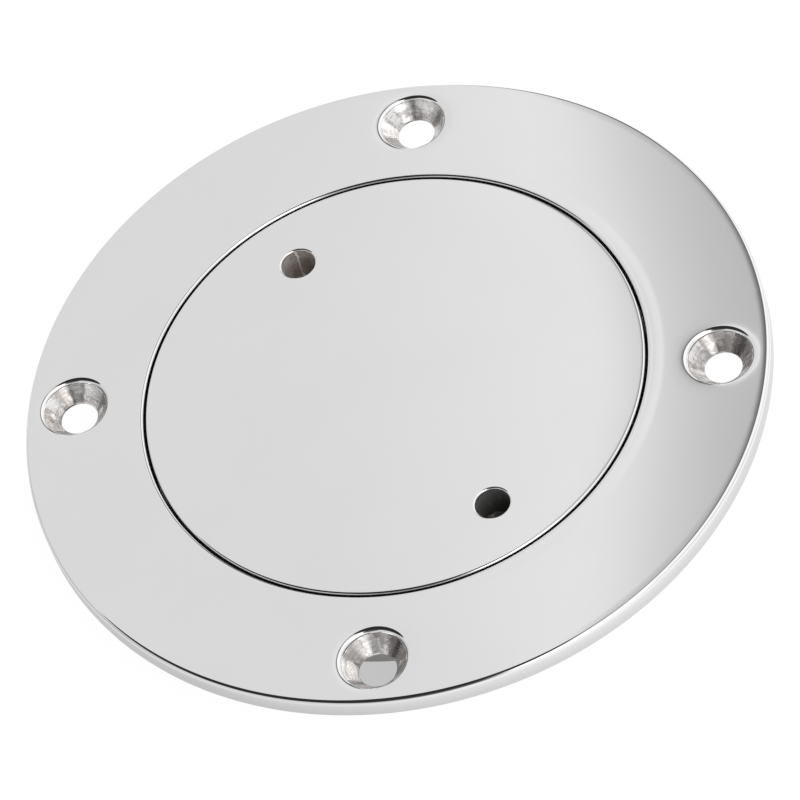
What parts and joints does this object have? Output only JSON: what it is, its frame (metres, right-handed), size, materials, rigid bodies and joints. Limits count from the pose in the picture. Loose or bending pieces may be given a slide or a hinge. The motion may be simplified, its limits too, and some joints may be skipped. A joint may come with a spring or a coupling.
{
  "type": "deck inspection plate",
  "caption": "Round flush deck inspection plate: a flanged ring screwed down over a deck hole, with a two-pin screw-in cap and a hidden rubber seal.",
  "frame": {"origin": "centre of the screw-hole circle, on the flange's underside where it lies on the deck", "axes": "+Z out of the deck along the plate's axis, +X through one of the four screw holes, +Y through the next one anticlockwise"},
  "size_m": [0.127, 0.127, 0.015],
  "materials": {
    "ring_steel": "mirror-polished stainless steel, fine turned rings in the countersinks",
    "cap_steel": "mirror-polished stainless steel with faint buffing marks",
    "seal_rubber": "matt black moulded rubber"
  },
  "bodies": {
    "deck_ring": {"deck_ring": "ring_steel"},
    "seal_ring": {"seal_ring": "seal_rubber"},
    "cap": {"cap": "cap_steel"}
  },
  "joints": [
    {"name": "cap_lift", "type": "slide", "parent": "deck_ring", "child": "seal_ring", "axis": [0, 0, 1], "range_m": [0, 0.0075]},
    {"name": "cap_turn", "type": "hinge", "parent": "seal_ring", "child": "cap", "pos_m": [0, 0, 0], "axis": [0, 0, 1], "range_deg": [0, 900]}
  ],
  "couplings": [
    {"joint": "cap_lift", "follows": "cap_turn", "m_per_rad": 0.00047746}
  ]
}
